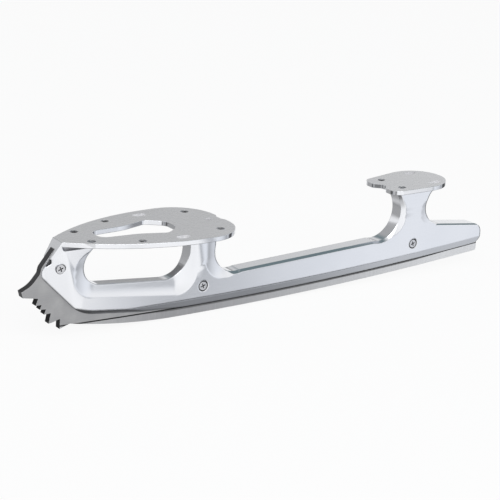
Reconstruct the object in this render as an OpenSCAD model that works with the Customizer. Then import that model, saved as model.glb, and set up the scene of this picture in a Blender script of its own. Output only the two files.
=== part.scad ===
// Figure skate blade: a one-piece alloy chassis with a sole plate and a heel
// plate, a hollow-ground steel runner with toe picks in its slot, and three
// countersunk screws in sleeve nuts that clamp the runner across the slot.
// Millimetres. X runs to the toe, Y to the skater's left, Z up from the ice.

/* [Blade] */
// Front edge of the sole plate to the rear of the heel plate, 9 3/4 inches
blade_length = 247.6; // [243:0.1:252]
// Pick tip ahead of the sole plate
toe_reach = 20.2; // [19.5:0.1:21]
// Tail end behind the heel plate
tail_reach = 35.4; // [34:0.2:37]
// Sole plate top above the ice
sole_height = 50.3; // [49.5:0.1:51.5]
// Heel plate top above the sole plate top
heel_rise = 6.3; // [5:0.1:7.5]
// Pitch of the heel plate in degrees, its rear end raised
heel_pitch = 3; // [2:0.1:4]
// Thickness of both plates
plate_thickness = 2.4; // [2.2:0.1:2.8]

/* [Sole plate] */
// Widest part, across the ball of the foot
sole_width = 58; // [54:1:62]
// Front edge to the widest part
sole_swell = 70; // [66:1:74]
// Front edge to the rear lobes
sole_length = 95.5; // [94:0.1:97]
// Rounding of the rear lobes
sole_lobe_radius = 22; // [19:1:23]
// Depth of the scoop between the rear lobes
lobe_scoop = 1.2; // [0.8:0.1:2]
// Front edge to the tip of the cut-out
cutout_start = 20.7; // [20:0.1:23]
// Length of the cut-out
cutout_length = 44.5; // [42.5:0.5:45.5]
// Width of the cut-out near its rear end
cutout_width = 24.4; // [22:0.2:26]

/* [Heel plate] */
// Widest part of the heel plate
heel_width = 35.4; // [33.8:0.2:37]
// Front lobes to the rear end
heel_length = 44; // [43:0.2:45.4]
// Depth of the scoop between the front lobes
heel_scoop = 3.4; // [2:0.1:4.4]
// Half width at the front lobes
heel_front_half = 14.6; // [13.8:0.1:15]

/* [Fixing holes] */
// Holes for the boot's wood screws
screw_hole_d = 4.4; // [4:0.1:4.8]
// Countersink under the plates
screw_sink_d = 8; // [7:0.1:8.4]
// Front holes: distance from the front edge
front_hole_back = 13.8; // [13.4:0.1:14.4]
// Front holes: spacing across
front_hole_span = 18; // [17:0.2:18.6]
// Side holes: distance from the front edge
side_hole_back = 36.8; // [34:0.1:40]
// Side holes: spacing across
side_hole_span = 38; // [35:0.5:39]
// Ball slots: distance from the front edge
ball_slot_back = 58.8; // [56:0.1:62]
// Ball slots: spacing across
ball_slot_span = 43; // [41:0.5:46]
// Ball and heel slots: end to end
slot_length = 7.6; // [6.4:0.1:8.4]
// Lobe holes: distance from the front edge
lobe_hole_back = 84; // [82:0.1:86]
// Lobe holes: spacing across
lobe_hole_span = 34.4; // [33:0.2:37]
// Centre locating hole over the middle stanchion, from the front edge
centre_hole_back = 88; // [87:0.1:88.6]
// Depth of the centre locating hole
centre_hole_depth = 5; // [4:0.5:7]
// Heel front holes: distance from the heel plate's rear
heel_hole_ahead = 34.9; // [34:0.1:36]
// Heel front holes: spacing across
heel_hole_span = 18.2; // [17.4:0.2:18.8]
// Heel slots: distance from the heel plate's rear
heel_slot_ahead = 11.9; // [11.5:0.1:13]
// Heel slots: spacing across
heel_slot_span = 22; // [20:0.2:22.6]

/* [Chassis] */
// Width of the nose, beam and stanchions
chassis_width = 10; // [9.6:0.1:10.6]
// Nose: how far it leans ahead of the sole plate
nose_reach = 10.4; // [10:0.1:11]
// Nose: drop of its foremost corner below the sole plate's top
nose_drop = 15; // [14.4:0.1:15.6]
// Nose: angle in degrees at which each side closes in on the runner
nose_taper = 12.2; // [11.4:0.2:13]
// D-opening: distance from the front edge
opening_back = 13; // [12.4:0.1:14]
// D-opening: length
opening_length = 62; // [60:0.5:63.5]
// D-opening: bottom rim above the ice, front end
opening_floor_front = 26; // [25:0.2:27]
// D-opening: bottom rim above the ice, rear end
opening_floor_rear = 21; // [20.4:0.2:22]
// Width of the middle stanchion
middle_width = 16.4; // [15.6:0.2:17]
// Radius of the foot between the middle stanchion and the beam
foot_radius = 12.5; // [11.6:0.1:13.2]
// Chin of the nose behind the front edge
chin_back = 11.2; // [10.6:0.1:12]
// Bottom edge starts to rise to the chin behind the front edge
keel_rise_back = 47; // [44:0.5:50]
// Beam top above the ice, front end
beam_top_front = 21; // [20.4:0.1:21.6]
// Beam top above the ice, heel end
beam_top_rear = 24.8; // [24:0.1:25.6]
// Bevel along the beam's top edges
beam_bevel = 1.2; // [0.8:0.1:1.6]
// Bevel along the tail's top edges
tail_bevel = 0.8; // [0.6:0.1:1]
// Radius of the arch ahead of the heel stanchion
arch_radius = 15.8; // [15:0.1:16.4]
// Radius of the cove behind the heel stanchion
cove_radius = 12.4; // [11.6:0.1:13]
// Radius of the cove milled under the plate's edge on the nose
cove_cut_radius = 2.6; // [2.2:0.1:3]
// Depth of that cove in the side face
cove_cut_depth = 0.9; // [0.7:0.05:1.1]
// Arch: rearmost point ahead of the heel plate's rear
arch_ahead = 29.5; // [28.8:0.1:30.2]
// Width of the heel stanchion at its waist
waist = 18.6; // [17.8:0.2:19.4]
// Tail end height above the ice at its crown
tail_top = 25.4; // [24.6:0.1:26]
// Bottom edge of the chassis above the ice
keel_height = 5.1; // [4.8:0.1:5.4]
// Height above the ice where the lower taper starts
taper_height = 9.4; // [8.8:0.1:10]
// Half width of the chassis at its bottom edge
keel_half = 2.8; // [2.7:0.05:3.2]
// Height of the taper along the chin
chin_height = 2.4; // [2.2:0.1:2.8]
// Radius in which the taper sweeps up round the chin
chin_sweep = 60; // [54:1:66]

/* [Side dishes] */
// Radius of the large dishes where they meet the side face
dish_radius = 12.6; // [11.6:0.1:13]
// Depth of the large dishes
dish_depth = 2.5; // [2.2:0.1:2.7]
// Radius of the small dish behind the heel stanchion
rear_dish_radius = 7.9; // [7:0.1:8.4]

/* [Runner] */
// Thickness of the steel
runner_thickness = 4; // [3.8:0.05:4.2]
// Long rocker radius, 8 feet
rocker_radius = 2438; // [2134:1:2743]
// Short rocker radius under the ball of the foot
spin_radius = 330; // [305:1:356]
// Lowest point of the rocker behind the front edge
rocker_low_back = 87; // [84:0.5:90]
// Start of the short rocker behind the front edge
spin_start_back = 69; // [66:0.5:72]
// Radius of the hollow ground along the bottom
hollow_radius = 12.7; // [11:0.1:16]
// Body of the runner above the ice, without its lugs
runner_height = 11; // [10.4:0.1:11.4]
// Height of the ground strip along the bottom
ground_strip = 4.3; // [4:0.05:4.6]
// Depth of the relief line above the ground strip
relief_depth = 0.2; // [0.1:0.05:0.3]
// Width of the relief line
relief_width = 0.7; // [0.4:0.1:0.8]
// Half length of the middle and heel lugs
lug_half = 7; // [6.4:0.1:7.4]
// Lug height above its screw
lug_rise = 4.6; // [4.2:0.1:4.8]

/* [Clamp screws] */
// Thread diameter
thread_d = 3; // [2.8:0.1:3.1]
// Countersunk head diameter, screws
screw_head_d = 5.5; // [5.3:0.1:5.8]
// Countersunk head diameter, sleeve nuts
nut_head_d = 6.4; // [6.2:0.1:6.8]
// Sleeve nut barrel diameter
barrel_d = 4.2; // [4.1:0.1:4.4]
// Toe screw ahead of the sole plate's front edge
toe_screw_ahead = 0.5; // [0:0.1:1]
// Toe screw below the sole plate's top
toe_screw_drop = 13.6; // [13:0.1:14.2]
// Middle screw behind the sole plate's front edge
middle_screw_back = 83.2; // [82.4:0.1:84]
// Middle screw above the ice
middle_screw_height = 15.6; // [15.2:0.1:16.2]
// Heel screw ahead of the heel plate's rear
heel_screw_ahead = 18.9; // [18.2:0.1:19.6]
// Heel screw above the ice
heel_screw_height = 19.6; // [19:0.1:20.2]

/* [Clearances] */
// Runner side to slot wall
slot_clearance = 0.05; // [0.02:0.01:0.1]
// Sleeve nut barrel to its holes, on the radius
barrel_clearance = 0.1; // [0.05:0.05:0.15]
// Screw shank to the chassis hole, on the radius
shank_clearance = 0.1; // [0.05:0.05:0.15]
// Screw and nut heads below the side face
head_sink = 0.2; // [0.1:0.05:0.3]

/* [Hidden] */
$fn = 64;
half = chassis_width / 2;
overall = blade_length + toe_reach + tail_reach;
x_front = overall / 2 - toe_reach;
x_rear = x_front - blade_length;
x_tail = -overall / 2;
z_sole = sole_height;
z_heel = sole_height + heel_rise;
x_low = x_front - rocker_low_back;
x_spin = x_front - spin_start_back;
x_open = x_front - opening_back;
x_open_rear = x_open - opening_length;
x_middle_rear = x_open_rear - middle_width;
x_arch = x_rear + arch_ahead;
x_waist_rear = x_arch - waist;
z_arch = beam_top_rear + arch_radius - 0.4;
x_cove = x_waist_rear - cove_radius;
x_foot = x_middle_rear - foot_radius + 0.3;
z_foot = beam_top_front + foot_radius - 0.3;
x_pitch = x_rear + 26.2;
x_chin = x_front - chin_back;
x_rise = x_front - keel_rise_back;
z_rise = rocker_radius - sqrt(pow(rocker_radius, 2) - pow(x_rise - x_low, 2)) + keel_height + 1;
z_chin = rocker_radius - sqrt(pow(rocker_radius, 2) - pow(x_chin - x_low, 2)) + taper_height + 0.3;
z_cove = z_heel - cove_radius - 2.7;
slot_width = runner_thickness + 2 * slot_clearance;
toe_at = [x_front + toe_screw_ahead, z_sole - toe_screw_drop];
middle_at = [x_front - middle_screw_back, middle_screw_height];
heel_at = [x_rear + heel_screw_ahead, heel_screw_height];
ball_radius = (dish_radius * dish_radius + dish_depth * dish_depth) / (2 * dish_depth);
sole_side_drop = sole_width / 2 - half + 0.3;
sole_side_radius = (sole_swell * sole_swell + sole_side_drop * sole_side_drop) / (2 * sole_side_drop);
spin_tilt = asin((x_spin - x_low) / rocker_radius);
spin_centre = [x_low + (rocker_radius - spin_radius) * sin(spin_tilt),
               rocker_radius - (rocker_radius - spin_radius) * cos(spin_tilt)];
x_pick_heel = x_front - 9;

function unit(v) = v / norm(v);

// Points of the arc that rounds corner b between a and c with radius r
function corner(a, b, c, r, n) =
    r == 0 ? [b] :
    let (u = unit(a - b), v = unit(c - b))
    let (bend = acos(u * v) / 2)
    let (m = b + unit(u + v) * r / sin(bend))
    let (p = b + u * r / tan(bend) - m, q = b + v * r / tan(bend) - m)
    let (turn = sign(p.x * q.y - p.y * q.x) * (180 - 2 * bend))
    [for (i = [0:n]) let (w = turn * i / n)
        m + [p.x * cos(w) - p.y * sin(w), p.x * sin(w) + p.y * cos(w)]];

// Outline through corner points [x, y, radius]
function rounded(pts, n = 10) =
    let (k = len(pts))
    [for (i = [0:k - 1])
        let (a = pts[(i + k - 1) % k], b = pts[i], c = pts[(i + 1) % k])
        each corner([a.x, a.y], [b.x, b.y], [c.x, c.y], b[2], n)];

// One side of a plate's outline and its mirror image
function both_sides(pts) =
    concat(pts, [for (i = [len(pts) - 1:-1:0]) [pts[i].x, -pts[i].y, pts[i][2]]]);

// Height of the long rocker, raised by e, at x
function rocker(x, e = 0) =
    rocker_radius - sqrt(pow(rocker_radius - e, 2) - pow(x - x_low, 2));

// Height of the heel plate's top at x
function heel_top(x) = z_heel - (x - x_pitch) * tan(heel_pitch);

// Height of the short rocker at x
function spin(x) = spin_centre.y - sqrt(pow(spin_radius, 2) - pow(x - spin_centre.x, 2));

// Long rocker arc from x0 to x1, raised by e
function rocker_arc(x0, x1, e, n) =
    [for (i = [0:n]) let (x = x0 + (x1 - x0) * i / n) [x, rocker(x, e)]];

// Short rocker arc from x0 to just short of x1
function spin_arc(x0, x1, n) =
    [for (i = [0:n - 1]) let (x = x0 + (x1 - x0) * i / n) [x, spin(x)]];

// Side outline (x, z) drawn as a slab of the given width about the mid plane
module slab(width) {
    rotate([90, 0, 0])
        linear_extrude(height = width, center = true)
            children();
}

// Ring about the long rocker's axis, from a profile of [height above ice, y]
module rocker_ring(profile, centre_z = rocker_radius, centre_x = x_low, from = -5.5, to = 5.5) {
    translate([centre_x, 0, centre_z])
        rotate([-90, 0, 0])
            rotate([0, 0, 90 - to])
                rotate_extrude(angle = to - from, $fn = 1440)
                    polygon([for (p = profile) [centre_z - p.x, p.y]]);
}

// Side outline of nose, beam, stanchions and tail
module chassis_side() {
    lower = concat(
        rocker_arc(x_tail + 1.6, x_spin - 4, keel_height, 16),
        [[x_rise, z_rise]]);
    nose = rounded([
        [x_rise, z_rise, 0],
        [x_chin, z_chin, 22],
        [x_front + nose_reach + 0.4, z_sole - nose_drop - 1.2, 4],
        [x_front, z_sole, 0],
        [x_front - 30, z_sole, 0]]);
    difference() {
        polygon(concat(lower, [for (i = [1:len(nose) - 1]) nose[i]], [
            [x_front - 30, z_sole - 1],
            [x_foot, z_sole - 1],
            [x_foot, beam_top_front],
            [x_arch + arch_radius, beam_top_rear],
            [x_arch + arch_radius, heel_top(x_arch + arch_radius) - 1],
            [x_rear + 4, heel_top(x_rear + 4) - 1],
            [x_cove, z_cove - cove_radius]],
            rounded_tail()));
        d_opening();
        middle_arch();
        heel_arch();
        heel_cove();
    }
}

// Corner points from the heel stanchion's foot round the tail
function rounded_tail() =
    let (p = rounded([
        [x_cove, z_cove - cove_radius, 0],
        [x_tail + 0.4, tail_top - 0.2, 6],
        [x_tail + 0.4, tail_top - 10, 5],
        [x_tail + 1.6, rocker(x_tail + 1.6, keel_height), 0]]))
    [for (i = [1:len(p) - 2]) p[i]];

// D-shaped opening between the nose and the middle stanchion
module d_opening() {
    polygon(rounded([
        [x_open_rear, z_sole + 1, 0],
        [x_open_rear, opening_floor_rear - 0.6, 14.5],
        [x_open, opening_floor_front, 10],
        [x_open, z_sole - plate_thickness, 12],
        [x_open - 14, z_sole - plate_thickness, 0],
        [x_open - 14, z_sole + 1, 0]], 14));
}

// Space between the middle stanchion and the beam
module middle_arch() {
    translate([x_foot, z_foot])
        circle(r = foot_radius);
    translate([x_foot - 2, z_foot - 2])
        square([x_middle_rear - x_foot + 2, z_heel - z_foot + 8]);
}

// Round arch ahead of the heel stanchion
module heel_arch() {
    translate([x_arch + arch_radius, z_arch])
        circle(r = arch_radius);
    translate([x_arch + arch_radius, z_arch - 2])
        square([20, z_heel - z_arch + 8]);
}

// Cove behind the heel stanchion
module heel_cove() {
    translate([x_cove, z_cove])
        circle(r = cove_radius);
}

// Cross-section of the chassis: straight sides, tapered towards the ice
module keel_section() {
    lean = (half - keel_half) / (taper_height - keel_height);
    foot = keel_half - lean * 0.6;
    rocker_ring([
        [keel_height - 0.6, foot],
        [taper_height, half],
        [z_heel + 12, half],
        [z_heel + 12, -half],
        [taper_height, -half],
        [keel_height - 0.6, -foot]]);
}

// Steeper taper where the bottom edge leaves the rocker and rises to the chin
module chin_taper(p, q, ahead) {
    run = q - p;
    lean = (half - keel_half) / chin_height;
    for (s = [-1, 1])
        translate([p.x, 0, p.y])
            rotate([0, -atan2(run.y, run.x), 0])
                translate([-6, 0, 0])
                    rotate([90, 0, 90])
                        linear_extrude(height = norm(run) + 6 + ahead)
                            polygon([
                                [s * (keel_half + 0.05 - lean), -1],
                                [s * (half + 0.05 + 0.5 * lean), chin_height + 0.5],
                                [s * (half + 4), chin_height + 0.5],
                                [s * (half + 4), -1]]);
}

// The same taper turned upwards, so that it runs out into the nose's lower edge
module chin_turn(p, q) {
    run = unit(q - p);
    lean = (half - keel_half) / chin_height;
    r = chin_sweep + chin_height;
    at = q - run * 10 + [-run.y, run.x] * (r - 0.15);
    for (s = [-1, 1])
        translate([at.x, 0, at.y])
            rotate([90, 0, 0])
                rotate([0, 0, atan2(run.y, run.x) - 90])
                    rotate_extrude(angle = 24, $fn = 360)
                        polygon([
                            [r + 1, -s * (keel_half + 0.05 - lean)],
                            [r - chin_height - 0.5, -s * (half + 0.05 + 0.5 * lean)],
                            [r - chin_height - 0.5, -s * (half + 4)],
                            [r + 1, -s * (half + 4)]]);
}

// Both sides of the nose, closing in on the runner ahead of a leaning line
module nose_sides() {
    foot = [x_front - 8.4, 14];
    lean = atan2(x_front - foot.x, z_sole - foot.y);
    lip = runner_thickness / 2 + 0.6;
    reach = (half - lip) / tan(nose_taper);
    for (s = [-1, 1])
        translate([foot.x, 0, foot.y])
            rotate([0, lean, 0])
                translate([0, 0, -10])
                    linear_extrude(height = z_sole + 12)
                        polygon([
                            [-2, s * (half + 2 * tan(nose_taper))],
                            [reach, s * lip],
                            [24, s * lip],
                            [24, s * (half + 6)],
                            [-2, s * (half + 6)]]);
}

// Small notch in each side of the nose, next to the runner's front edge
module nose_notches() {
    lip = runner_thickness / 2 + 0.45;
    for (y = [lip, -lip - 5])
        translate([x_front, y + 5, z_sole])
            rotate([90, 0, 0])
                linear_extrude(height = 5)
                    polygon(rounded([
                        [5, -8.4, 0.4], [4.9, -10.4, 0.4], [7.1, -12, 0.4],
                        [8.6, -11.3, 0.4], [7.4, -8.3, 0.4]], 4));
}

// Bevels along the top edges of beam and tail, and round the feet of both stanchions
module beam_bevels() {
    edge_bevel([x_arch + arch_radius, beam_top_rear], [x_foot, beam_top_front], beam_bevel, 1.5, 1);
    edge_bevel([x_tail + 0.4, tail_top - 0.2], [x_cove, z_cove - cove_radius], tail_bevel, 1, 3);
    for (s = [-1, 1]) {
        bevel_ring([x_foot, z_foot], foot_radius, s);
        bevel_ring([x_arch + arch_radius, z_arch], arch_radius, s);
    }
}

// Straight bevel along both top edges from p forward to q, run on past its ends
module edge_bevel(p, q, cut, behind, ahead) {
    run = q - p;
    for (s = [-1, 1])
        translate([p.x, 0, p.y])
            rotate([0, -atan2(run.y, run.x), 0])
                translate([-behind, 0, 0])
                    rotate([90, 0, 90])
                        linear_extrude(height = norm(run) + behind + ahead)
                            polygon([
                                [s * (half - cut - 1), 1],
                                [s * (half + 1), -cut - 1],
                                [s * (half + 3), 1]]);
}

// Cone that bevels one edge of a round opening, a little deeper than the straight bevel
module bevel_ring(at, r, s) {
    cut = beam_bevel + 0.15;
    translate([at.x, s * (half - cut - 0.5), at.y])
        rotate([-90 * s, 0, 0])
            cylinder(r1 = r - 0.5, r2 = r + cut + 1, h = cut + 1.5);
}

// Ball cut into both side faces, leaving a circle of radius r there
module dish(x, z, r) {
    sink = ball_radius - sqrt(ball_radius * ball_radius - r * r);
    for (s = [-1, 1])
        translate([x, s * (half + ball_radius - sink), z])
            sphere(r = ball_radius, $fn = 96);
}

// Ball run along a straight line in both side faces
module dish_run(p, q) {
    run = q - p;
    for (s = [-1, 1])
        translate([p.x, s * (half + ball_radius - dish_depth), p.y])
            rotate([0, 90 - atan2(run.y, run.x), 0])
                cylinder(r = ball_radius, h = norm(run), $fn = 96);
}

// Dishes round the openings
module dishes() {
    front = [x_open - 6.2, opening_floor_front + 5.6];
    rear = [x_open_rear + 8.5, opening_floor_rear + 4.6];
    behind = [x_middle_rear - 5.1, beam_top_front + 9.5];
    dish(front.x, front.y, dish_radius);
    dish_run(front, rear);
    dish(rear.x, rear.y, dish_radius);
    dish_run(rear, [rear.x + 1.2, z_sole - 1.3]);
    dish(behind.x, behind.y, dish_radius);
    dish_run(behind, [behind.x, z_sole - 1.3]);
    dish(x_arch + 9.2, z_arch - 2, dish_radius);
    dish(x_waist_rear - 3.6, z_cove - 3.4, rear_dish_radius);
}

// Sole plate outline: leaf-shaped front, two lobes at the rear
module sole_outline() {
    x_wide = x_front - sole_swell;
    x_lobe = x_front - sole_length;
    top = sole_width / 2;
    open = acos(sole_swell / sole_side_radius);
    side = [for (i = [0:14]) let (w = open + (90 - open) * i / 14)
        [x_wide + sole_side_radius * cos(w), top + sole_side_radius * (sin(w) - 1), 0]];
    rear = rounded([
        [x_wide, top, 0],
        [x_lobe, top, sole_lobe_radius],
        [x_lobe, 4.6, 2],
        [x_lobe + lobe_scoop, 0, 0],
        [x_wide, 0, 0]], 12);
    half_side = concat([for (p = side) [p.x, p.y]], [for (i = [1:len(rear) - 3]) rear[i]]);
    polygon(concat(half_side, [[x_lobe + lobe_scoop, 2], [x_lobe + lobe_scoop, -2]],
        [for (i = [len(half_side) - 1:-1:0]) [half_side[i].x, -half_side[i].y]]));
}

// Cut-out through the sole plate above the D-opening
module sole_cutout() {
    tip = x_front - cutout_start;
    end = tip - cutout_length;
    polygon(rounded(both_sides([
        [tip, 6, 5],
        [tip - 20.6, 7.4, 30],
        [end + 9, cutout_width / 2, 4],
        [end, 5.5, 5]])));
}

// Heel plate outline: round rear, two lobes at the front
module heel_outline() {
    x_lobe = x_rear + heel_length;
    wide = heel_width / 2;
    polygon(rounded(both_sides([
        [x_lobe - heel_scoop, 1.6, 2],
        [x_lobe, 5.6, 3],
        [x_lobe, heel_front_half, 6],
        [x_rear + 18.5, wide, 20],
        [x_rear, wide, wide - 0.6]]), 12));
}

// Places of the round holes in the sole plate
function sole_holes() = [for (s = [-1, 1]) each [
    [x_front - front_hole_back, s * front_hole_span / 2, z_sole],
    [x_front - side_hole_back, s * side_hole_span / 2, z_sole],
    [x_front - lobe_hole_back, s * lobe_hole_span / 2, z_sole]]];

// Shape drawn at the heel plate's level, pitched with the plate
module on_heel_plate() {
    translate([x_pitch, 0, z_heel])
        rotate([0, heel_pitch, 0])
            translate([-x_pitch, 0, 0])
                children();
}

// Round hole, countersunk from below for the screw's head
module fixing_hole() {
    deep = (screw_sink_d - screw_hole_d) / 2;
    translate([0, 0, -plate_thickness - 1])
        cylinder(d = screw_hole_d, h = plate_thickness + 2);
    translate([0, 0, -plate_thickness])
        cylinder(d1 = screw_sink_d, d2 = screw_hole_d, h = deep);
}

// Slotted hole that lets the plate shift along its length
module fixing_slot() {
    reach = (slot_length - screw_hole_d) / 2;
    for (s = [-1, 1])
        translate([s * reach, 0, -plate_thickness - 1])
            cylinder(d = screw_hole_d, h = plate_thickness + 2);
    translate([-reach, -screw_hole_d / 2, -plate_thickness - 1])
        cube([2 * reach, screw_hole_d, plate_thickness + 2]);
}

module plates() {
    translate([0, 0, z_sole - plate_thickness])
        linear_extrude(height = plate_thickness)
            sole_outline();
    on_heel_plate()
        translate([0, 0, -plate_thickness])
            linear_extrude(height = plate_thickness)
                heel_outline();
}

// All the fixing holes and slots
module fixing_holes() {
    for (p = sole_holes())
        translate(p) fixing_hole();
    for (s = [-1, 1]) {
        translate([x_front - ball_slot_back, s * ball_slot_span / 2, z_sole])
            fixing_slot();
        on_heel_plate()
            translate([x_rear + heel_hole_ahead, s * heel_hole_span / 2, 0])
                fixing_hole();
        on_heel_plate()
            translate([x_rear + heel_slot_ahead, s * heel_slot_span / 2, 0])
                fixing_slot();
    }
}

// Cove milled along the nose under the plate's edge, with a round front end
module nose_coves() {
    r = cove_cut_radius;
    for (s = [-1, 1])
        translate([x_front - 2, s * (half + r - cove_cut_depth), z_sole - plate_thickness - 0.35]) {
            sphere(r = r);
            rotate([0, -90, 0])
                cylinder(r = r, h = 26);
        }
}

// Holes for one clamp screw and its sleeve nut
module clamp_bores(at) {
    r_sink = screw_head_d / 2 + head_sink;
    r_shank = thread_d / 2 + shank_clearance;
    n_sink = nut_head_d / 2 + head_sink;
    r_barrel = barrel_d / 2 + barrel_clearance;
    translate([at.x, 0, at.y])
        rotate([-90, 0, 0]) {
            cylinder(r = r_shank, h = half + 1);
            translate([0, 0, half - r_sink + r_shank])
                cylinder(r1 = r_shank, r2 = r_sink, h = r_sink - r_shank);
            translate([0, 0, -half - 1])
                cylinder(r = r_barrel, h = half + 1);
            translate([0, 0, -half])
                cylinder(r1 = n_sink, r2 = r_barrel, h = n_sink - r_barrel);
        }
}

module chassis() {
    color([0.85, 0.86, 0.90])
    difference() {
        union() {
            intersection() {
                difference() {
                    slab(chassis_width + 2) chassis_side();
                    dishes();
                    nose_coves();
                    nose_sides();
                    beam_bevels();
                    chin_taper([x_spin - 4, rocker(x_spin - 4, keel_height)], [x_rise, z_rise], 6);
                    chin_taper([x_rise, z_rise], [x_chin, z_chin], -2);
                    chin_turn([x_rise, z_rise], [x_chin, z_chin]);
                }
                keel_section();
            }
            plates();
        }
        slab(slot_width) runner_side();
        nose_notches();
        translate([0, 0, z_sole - plate_thickness - 4])
            linear_extrude(height = plate_thickness + 5)
                sole_cutout();
        translate([x_front - centre_hole_back, 0, z_sole - centre_hole_depth])
            cylinder(d = screw_hole_d, h = centre_hole_depth + 1);
        for (p = [toe_at, middle_at, heel_at])
            clamp_bores(p);
        fixing_holes();
    }
}

// Toe picks from the tip down to the drag pick, [ahead of the plate, height]
function picks() = [
    [toe_reach, 26.9], [toe_reach - 0.8, 23.9], [13.9, 22.9],
    [11.2, 22.3], [12.5, 18.9],
    [9.3, 18.8], [10.2, 16.5],
    [6.9, 16.2], [7.9, 13.7],
    [4.2, 13.7], [5.4, 8.5], [2.9, 8.9], [1.1, 9.5],
    [-0.9, 9.9], [-0.7, 4.7], [-3.7, 5.8], [-6.5, 6.6]];

// Side outline of the runner with its three lugs
module runner_side() {
    x_end = x_tail;
    top_rear = rounded([
        [x_end, rocker(x_end, runner_height - 3), 0],
        [x_end + 8, rocker(x_end + 8, runner_height), 6],
        [heel_at.x - lug_half - 5, rocker(heel_at.x - lug_half - 5, runner_height), 4],
        [heel_at.x - lug_half, heel_at.y + lug_rise, 4],
        [heel_at.x + lug_half, heel_at.y + lug_rise, 4],
        [heel_at.x + lug_half + 5, rocker(heel_at.x + lug_half + 5, runner_height), 4],
        [middle_at.x - lug_half - 5, rocker(middle_at.x - lug_half - 5, runner_height), 4],
        [middle_at.x - lug_half, middle_at.y + lug_rise, 4],
        [middle_at.x + lug_half, middle_at.y + lug_rise, 4],
        [middle_at.x + lug_half + 5, rocker(middle_at.x + lug_half + 5, runner_height), 4],
        [x_front - 14, rocker(x_front - 14, runner_height + 0.5), 14],
        [toe_at.x - 7, toe_at.y - 12, 10],
        [toe_at.x - 7, z_sole - plate_thickness - 1, 3],
        [x_front + 2.7, z_sole - 3.9, 0],
        [x_front + nose_reach - 0.8, z_sole - nose_drop + 2.4, 3],
        [x_front + nose_reach - 0.1, z_sole - nose_drop - 0.6, 3],
        [x_front + toe_reach - 5.4, z_sole - nose_drop - 6, 14],
        [x_front + toe_reach, 26.9, 0]], 6);
    polygon(concat(
        [for (i = [0:len(top_rear) - 2]) top_rear[i]],
        [for (p = picks()) [x_front + p.x, p.y]],
        spin_arc(x_pick_heel, x_spin, 12),
        rocker_arc(x_spin, x_end + 1, 0, 24),
        [[x_end + 0.3, rocker(x_end) + 0.3], [x_end, rocker(x_end) + 1]]));
}

// Hollow ground along both rockers
module hollow_grind() {
    bite = hollow_radius - sqrt(pow(hollow_radius, 2) - pow(runner_thickness / 2, 2));
    long_from = -asin((x_low - x_tail) / rocker_radius) - 0.2;
    spin_to = asin((x_pick_heel - spin_centre.x) / spin_radius);
    translate([x_low, 0, rocker_radius])
        rotate([-90, 0, 0])
            rotate([0, 0, 90 - spin_tilt])
                rotate_extrude(angle = spin_tilt - long_from, $fn = 1440)
                    translate([rocker_radius - bite + hollow_radius, 0])
                        circle(r = hollow_radius, $fn = 180);
    translate([spin_centre.x, 0, spin_centre.y])
        rotate([-90, 0, 0])
            rotate([0, 0, 90 - spin_to])
                rotate_extrude(angle = spin_to - spin_tilt, $fn = 720)
                    translate([spin_radius - bite + hollow_radius, 0])
                        circle(r = hollow_radius, $fn = 180);
}

// Relief line above the ground strip on both sides
module relief_lines() {
    side = runner_thickness / 2;
    to = asin((x_front - 14 - x_low) / rocker_radius);
    for (s = [-1, 1])
        rocker_ring([
            [ground_strip, s * (side - relief_depth)],
            [ground_strip + relief_width, s * (side - relief_depth)],
            [ground_strip + relief_width, s * (side + 1)],
            [ground_strip, s * (side + 1)]], to = to);
}

module runner() {
    color([0.62, 0.62, 0.63])
    difference() {
        slab(runner_thickness) runner_side();
        for (p = [toe_at, middle_at, heel_at])
            translate([p.x, 0, p.y])
                rotate([-90, 0, 0])
                    cylinder(d = barrel_d + 2 * barrel_clearance, h = 20, center = true);
        hollow_grind();
        relief_lines();
    }
}

// Countersunk cross-recess screw, head flush with the left side
module clamp_screw(at) {
    top = half - head_sink;
    cone = (screw_head_d - thread_d) / 2;
    color([0.72, 0.72, 0.74])
    translate([at.x, 0, at.y])
        rotate([-90, 0, 0])
            difference() {
                union() {
                    translate([0, 0, top - cone])
                        cylinder(d1 = thread_d, d2 = screw_head_d, h = cone);
                    translate([0, 0, -half + 2.6])
                        cylinder(d = thread_d, h = top - cone + half - 2.6);
                }
                for (a = [20, 110])
                    rotate([0, 0, a])
                        translate([-1.5, -0.32, top - 0.8])
                            cube([3, 0.64, 2]);
            }
}

// Countersunk sleeve nut, head flush with the right side
module sleeve_nut(at) {
    top = half - head_sink;
    cone = (nut_head_d - barrel_d) / 2;
    end = runner_thickness / 2 - 0.1;
    color([0.70, 0.70, 0.72])
    translate([at.x, 0, at.y])
        rotate([-90, 0, 0])
            difference() {
                union() {
                    translate([0, 0, -top])
                        cylinder(d1 = nut_head_d, d2 = barrel_d, h = cone);
                    translate([0, 0, -top + cone])
                        cylinder(d = barrel_d, h = end + top - cone);
                }
                translate([0, 0, -half + 1.6])
                    cylinder(d = thread_d, h = chassis_width);
                rotate([0, 0, 35])
                    translate([-nut_head_d, -0.4, -half - 1])
                        cube([2 * nut_head_d, 0.8, 1.7]);
            }
}

module toe_screw() { clamp_screw(toe_at); }
module middle_screw() { clamp_screw(middle_at); }
module heel_screw() { clamp_screw(heel_at); }
module toe_nut() { sleeve_nut(toe_at); }
module middle_nut() { sleeve_nut(middle_at); }
module heel_nut() { sleeve_nut(heel_at); }

chassis();
runner();
toe_screw();
middle_screw();
heel_screw();
toe_nut();
middle_nut();
heel_nut();
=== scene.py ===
"""Figure skate blade in a bright studio: polished alloy chassis, brushed steel runner, clamp screws."""

import math

import bmesh
import bpy
from mathutils import Matrix, Vector


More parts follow.
